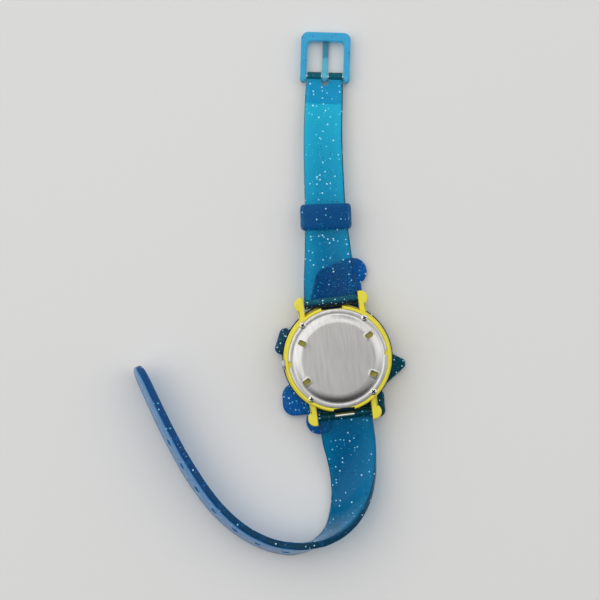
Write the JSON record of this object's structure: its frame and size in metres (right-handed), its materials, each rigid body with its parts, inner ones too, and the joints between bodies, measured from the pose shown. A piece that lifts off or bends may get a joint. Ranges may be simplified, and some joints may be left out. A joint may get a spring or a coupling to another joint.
{
  "type": "toy wristwatch",
  "caption": "Child's analogue wristwatch with a round steel-backed case, glittery ornament charms around the crystal, and a translucent buckled strap with punched holes.",
  "frame": {"origin": "centre of the crystal's flat face, on the table that the watch lies face down on", "axes": "+Z out of the steel case back, towards the wrist; +Y from the dial's middle towards twelve o'clock and the buckle half of the strap; the crown is at -X"},
  "size_m": [0.0706, 0.1351, 0.011],
  "materials": {
    "yellow_abs": "gloss",
    "back_steel": "brushed",
    "screw_steel": "turned",
    "gasket_rubber": "matte",
    "clear_acrylic": "polished",
    "ring_vinyl": "gloss",
    "blue_glitter_vinyl": "gloss with glitter",
    "navy_glitter_vinyl": "gloss with glitter",
    "teal_glitter_vinyl": "gloss with glitter",
    "dial_enamel": "satin",
    "black_enamel": "gloss",
    "red_enamel": "gloss",
    "holder_nylon": "moulded",
    "plate_plastic": "moulded",
    "bridge_steel": "satin",
    "board_laminate": "satin",
    "chip_resin": "matte",
    "can_nickel": "bright",
    "coil_copper": "enamelled",
    "stator_iron": "satin",
    "rotor_magnet": "satin",
    "wheel_brass": "satin",
    "battery_steel": "bright",
    "contact_brass": "plated",
    "stem_steel": "turned",
    "crown_chrome": "polished",
    "bar_steel": "polished",
    "strap_vinyl": "gloss with glitter",
    "keeper_vinyl": "gloss",
    "buckle_vinyl": "gloss"
  },
  "bodies": {
    "case": {"case_body": "yellow_abs", "case_back": "back_steel", "case_back_screws": "screw_steel", "back_gasket": "gasket_rubber", "crystal": "clear_acrylic", "bezel_ring": "ring_vinyl", "round_charm": "blue_glitter_vinyl", "square_charm": "navy_glitter_vinyl", "heart_charm": "blue_glitter_vinyl", "triangle_charm": "teal_glitter_vinyl", "small_square_charm": "teal_glitter_vinyl", "dial": "dial_enamel", "movement_holder": "holder_nylon", "mainplate": "plate_plastic", "train_bridge": "bridge_steel", "bridge_screws": "screw_steel", "circuit_board": "board_laminate", "chip": "chip_resin", "quartz_can": "can_nickel", "coil": "coil_copper", "stator": "stator_iron", "battery": "battery_steel", "battery_contact": "contact_brass", "battery_clamp": "bridge_steel", "upper_bar_tube": "bar_steel", "upper_bar_spring": "bar_steel", "lower_bar_tube": "bar_steel", "lower_bar_spring": "bar_steel"},
    "seconds": {"second_hand": "red_enamel", "seconds_wheel": "wheel_brass"},
    "third": {"third_wheel": "wheel_brass"},
    "minutes": {"centre_wheel": "wheel_brass", "minute_hand": "black_enamel"},
    "minute_work": {"minute_wheel": "wheel_brass"},
    "hours": {"hour_wheel": "wheel_brass", "hour_hand": "black_enamel"},
    "fifth": {"fifth_wheel": "wheel_brass"},
    "rotor": {"rotor": "rotor_magnet"},
    "slider": {"setting_slider": "bridge_steel"},
    "crown": {"crown": "crown_chrome", "stem": "stem_steel"},
    "upper_left_tip": {"upper_bar_left_tip": "bar_steel"},
    "upper_right_tip": {"upper_bar_right_tip": "bar_steel"},
    "lower_left_tip": {"lower_bar_left_tip": "bar_steel"},
    "lower_right_tip": {"lower_bar_right_tip": "bar_steel"},
    "upper_strap": {"upper_strap": "strap_vinyl", "buckle_pin": "bar_steel"},
    "lower_strap": {"lower_strap": "strap_vinyl"},
    "keeper": {"keeper_loop": "keeper_vinyl"},
    "buckle_frame": {"buckle_frame": "buckle_vinyl"},
    "tongue": {"buckle_tongue": "buckle_vinyl"}
  },
  "joints": [
    {"name": "upper_strap_hinge", "type": "hinge", "parent": "case", "child": "upper_strap", "pos_m": [0, 0.0148, 0.005], "axis": [1, 0, 0], "range_deg": [-3, 85]},
    {"name": "lower_strap_hinge", "type": "hinge", "parent": "case", "child": "lower_strap", "pos_m": [0, -0.0148, 0.005], "axis": [-1, 0, 0], "range_deg": [-3, 85]},
    {"name": "buckle_swing", "type": "hinge", "parent": "upper_strap", "child": "buckle_frame", "pos_m": [0.00572, 0.07321, 0.0013], "axis": [-0.988, 0.1544, 0], "range_deg": [-50, 50]},
    {"name": "tongue_swing", "type": "hinge", "parent": "buckle_frame", "child": "tongue", "pos_m": [0.00572, 0.07321, 0.0013], "axis": [-0.988, 0.1544, 0], "range_deg": [0, 75]},
    {"name": "keeper_slide", "type": "slide", "parent": "upper_strap", "child": "keeper", "axis": [0.0884, 0.9961, 0], "range_m": [0, 0.02]},
    {"name": "crown_pull", "type": "slide", "parent": "case", "child": "slider", "axis": [-1, 0, 0], "range_m": [0, 0.0009]},
    {"name": "crown_turn", "type": "hinge", "parent": "slider", "child": "crown", "pos_m": [-0.0142, 0, 0.0054], "axis": [1, 0, 0], "continuous": true},
    {"name": "seconds_turn", "type": "hinge", "parent": "case", "child": "seconds", "pos_m": [0, 0, 0.0054], "axis": [0, 0, 1], "continuous": true},
    {"name": "third_turn", "type": "hinge", "parent": "case", "child": "third", "pos_m": [-0.00218, 0.00218, 0.0054], "axis": [0, 0, 1], "continuous": true},
    {"name": "minutes_turn", "type": "hinge", "parent": "case", "child": "minutes", "pos_m": [0, 0, 0.0054], "axis": [0, 0, 1], "continuous": true},
    {"name": "minute_work_turn", "type": "hinge", "parent": "case", "child": "minute_work", "pos_m": [-0.002, 0, 0.0042], "axis": [0, 0, 1], "continuous": true},
    {"name": "hours_turn", "type": "hinge", "parent": "case", "child": "hours", "pos_m": [0, 0, 0.0038], "axis": [0, 0, 1], "continuous": true},
    {"name": "fifth_turn", "type": "hinge", "parent": "case", "child": "fifth", "pos_m": [0.00221, 0.00221, 0.006], "axis": [0, 0, 1], "continuous": true},
    {"name": "rotor_turn", "type": "hinge", "parent": "case", "child": "rotor", "pos_m": [0.00339, 0.00339, 0.006], "axis": [0, 0, 1], "continuous": true},
    {"name": "upper_left_tip_slide", "type": "slide", "parent": "case", "child": "upper_left_tip", "axis": [1, 0, 0], "range_m": [0, 0.001], "stiffness_N_per_m": 300, "springref_m": -0.001, "deforming": ["upper_bar_spring"]},
    {"name": "upper_right_tip_slide", "type": "slide", "parent": "case", "child": "upper_right_tip", "axis": [-1, 0, 0], "range_m": [0, 0.001], "stiffness_N_per_m": 300, "springref_m": -0.001, "deforming": ["upper_bar_spring"]},
    {"name": "lower_left_tip_slide", "type": "slide", "parent": "case", "child": "lower_left_tip", "axis": [1, 0, 0], "range_m": [0, 0.001], "stiffness_N_per_m": 300, "springref_m": -0.001, "deforming": ["lower_bar_spring"]},
    {"name": "lower_right_tip_slide", "type": "slide", "parent": "case", "child": "lower_right_tip", "axis": [-1, 0, 0], "range_m": [0, 0.001], "stiffness_N_per_m": 300, "springref_m": -0.001, "deforming": ["lower_bar_spring"]}
  ],
  "couplings": [
    {"joint": "third_turn", "follows": "seconds_turn", "ratio": -0.16667},
    {"joint": "minutes_turn", "follows": "seconds_turn", "ratio": 0.016667},
    {"joint": "minute_work_turn", "follows": "seconds_turn", "ratio": -0.0055556},
    {"joint": "hours_turn", "follows": "seconds_turn", "ratio": 0.0013889},
    {"joint": "fifth_turn", "follows": "seconds_turn", "ratio": -5},
    {"joint": "rotor_turn", "follows": "seconds_turn", "ratio": 30}
  ]
}
